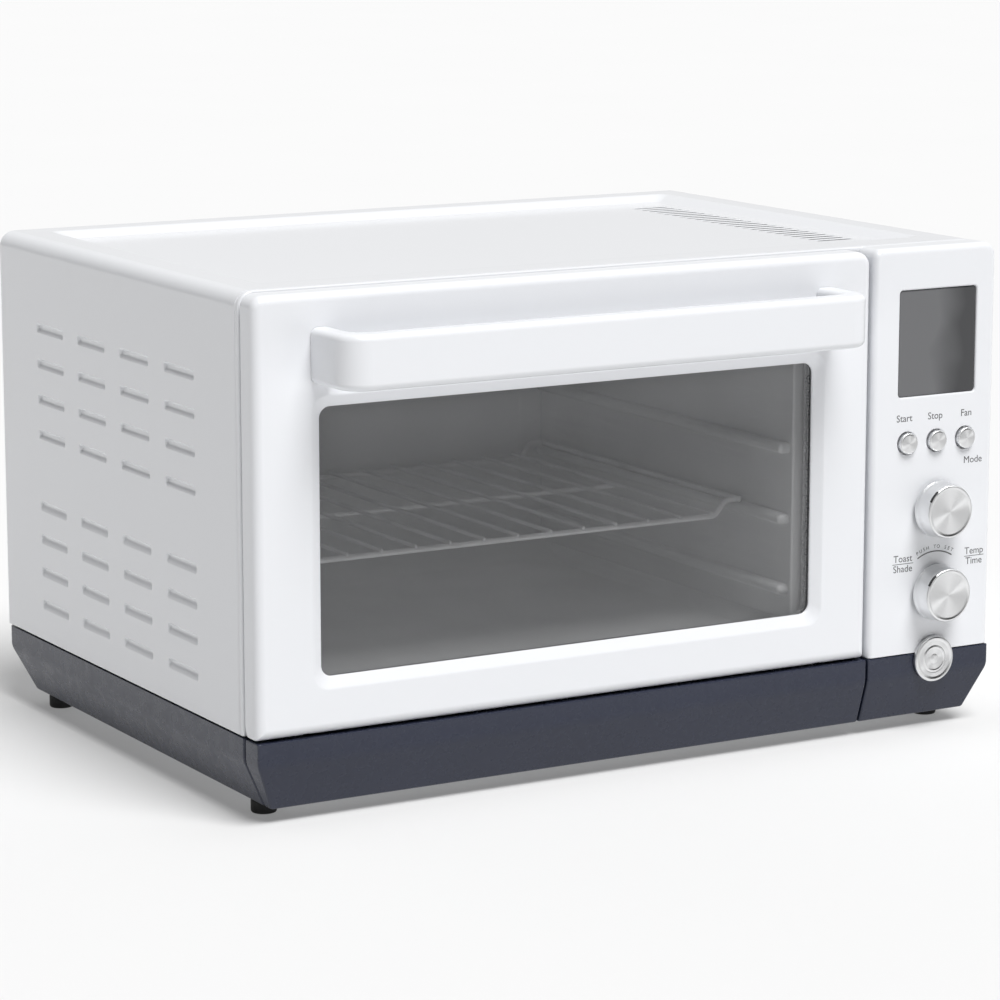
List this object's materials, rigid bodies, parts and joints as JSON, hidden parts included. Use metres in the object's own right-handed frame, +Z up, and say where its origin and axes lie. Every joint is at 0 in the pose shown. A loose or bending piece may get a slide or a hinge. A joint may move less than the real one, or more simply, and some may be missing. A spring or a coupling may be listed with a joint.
{
  "type": "toaster oven",
  "caption": "Countertop convection toaster oven with a drop-down glass door, wire rack, crumb tray drawer, display, push buttons and dials.",
  "frame": {"origin": "on the table, under the middle of the whole object's box", "axes": "+X to the control panel's side, +Y from the door to the back, +Z up"},
  "size_m": [0.47, 0.38, 0.2795],
  "materials": {
    "white_paint": "smooth satin enamel",
    "white_plastic": "smooth semi-gloss",
    "slate_plastic": "satin, dark slate blue",
    "black_plastic": "matte",
    "black_rubber": "matte rubber",
    "galvanised_steel": "galvanised sheet",
    "cavity_steel": "aluminised sheet",
    "bright_steel": "bright plated",
    "rack_chrome": "chrome plated wire",
    "spun_aluminium": "spun, fine concentric grain",
    "door_glass": "grey tempered glass",
    "display_lens": "smoked acrylic, gloss",
    "element_sheath": "heat-darkened steel sheath",
    "circuit_board": "solder mask",
    "spring_steel": "bright wire"
  },
  "bodies": {
    "housing": {"badge": "spun_aluminium", "base_pan": "galvanised_steel", "base_shell": "slate_plastic", "cavity_back_wall": "cavity_steel", "cavity_floor": "cavity_steel", "cavity_left_wall": "cavity_steel", "cavity_right_wall": "cavity_steel", "cavity_top": "cavity_steel", "control_board": "circuit_board", "control_panel": "white_plastic", "cord_gland": "black_plastic", "display_lens": "display_lens", "display_module": "black_plastic", "fan_motor": "galvanised_steel", "foot_front_left": "black_rubber", "foot_front_right": "black_rubber", "foot_rear_left": "black_rubber", "foot_rear_right": "black_rubber", "front_frame": "cavity_steel", "heat_shield": "galvanised_steel", "heater_relay": "black_plastic", "lower_element_front": "element_sheath", "lower_element_rear": "element_sheath", "mode_encoder": "bright_steel", "outer_shell": "white_paint", "panel_skirt": "slate_plastic", "power_board": "circuit_board", "rear_cover": "galvanised_steel", "rear_screw_bottom_left": "bright_steel", "rear_screw_bottom_right": "bright_steel", "rear_screw_top_left": "bright_steel", "rear_screw_top_right": "bright_steel", "rear_spacer_left": "black_rubber", "rear_spacer_right": "black_rubber", "temp_encoder": "bright_steel", "thermal_cutoff": "bright_steel", "transformer": "galvanised_steel", "upper_element_front": "element_sheath", "upper_element_rear": "element_sheath"},
    "door": {"door_frame": "white_plastic", "door_glass": "door_glass", "door_inner_panel": "bright_steel", "door_handle": "white_plastic", "handle_screw_left": "bright_steel", "handle_screw_right": "bright_steel", "hinge_pin_left": "bright_steel", "hinge_pin_right": "bright_steel", "hinge_spring_left": "spring_steel", "hinge_spring_right": "spring_steel"},
    "rack": {"wire_rack": "rack_chrome"},
    "crumb_drawer": {"crumb_tray": "cavity_steel", "front_skirt": "slate_plastic"},
    "mode_dial": {"mode_knob": "spun_aluminium"},
    "temp_push": {"temp_plunger": "black_plastic"},
    "temp_dial": {"temp_knob": "spun_aluminium"},
    "start_key": {"start_button": "spun_aluminium"},
    "cancel_key": {"cancel_button": "spun_aluminium"},
    "fan_key": {"fan_button": "spun_aluminium"},
    "fan": {"fan_blade": "galvanised_steel"}
  },
  "joints": [
    {"name": "door_hinge", "type": "hinge", "parent": "housing", "child": "door", "pos_m": [0, -0.144, 0.0528], "axis": [1, 0, 0], "range_deg": [0, 90], "stiffness_Nm_per_rad": 0.6, "springref_deg": -28.65},
    {"name": "rack_slide", "type": "slide", "parent": "housing", "child": "rack", "axis": [0, -1, 0], "range_m": [0, 0.11]},
    {"name": "crumb_tray_slide", "type": "slide", "parent": "housing", "child": "crumb_drawer", "axis": [0, -1, 0], "range_m": [0, 0.16]},
    {"name": "mode_spin", "type": "hinge", "parent": "housing", "child": "mode_dial", "pos_m": [0.1955, -0.15, 0.1294], "axis": [0, -1, 0], "continuous": true},
    {"name": "temp_press", "type": "slide", "parent": "housing", "child": "temp_push", "axis": [0, 1, 0], "range_m": [0, 0.0015], "stiffness_N_per_m": 1500, "springref_m": -0.0006},
    {"name": "temp_spin", "type": "hinge", "parent": "temp_push", "child": "temp_dial", "pos_m": [0.1955, -0.15, 0.0811], "axis": [0, -1, 0], "continuous": true},
    {"name": "start_press", "type": "slide", "parent": "housing", "child": "start_key", "axis": [0, 1, 0], "range_m": [0, 0.0012], "stiffness_N_per_m": 1500, "springref_m": -0.0006},
    {"name": "cancel_press", "type": "slide", "parent": "housing", "child": "cancel_key", "axis": [0, 1, 0], "range_m": [0, 0.0012], "stiffness_N_per_m": 1500, "springref_m": -0.0006},
    {"name": "fan_press", "type": "slide", "parent": "housing", "child": "fan_key", "axis": [0, 1, 0], "range_m": [0, 0.0012], "stiffness_N_per_m": 1500, "springref_m": -0.0006},
    {"name": "fan_spin", "type": "hinge", "parent": "housing", "child": "fan", "pos_m": [-0.2066, 0.02, 0.148], "axis": [1, 0, 0], "continuous": true}
  ],
  "couplings": [
    {"joint": "rack_slide", "follows": "door_hinge", "m_per_rad": 0.07}
  ]
}
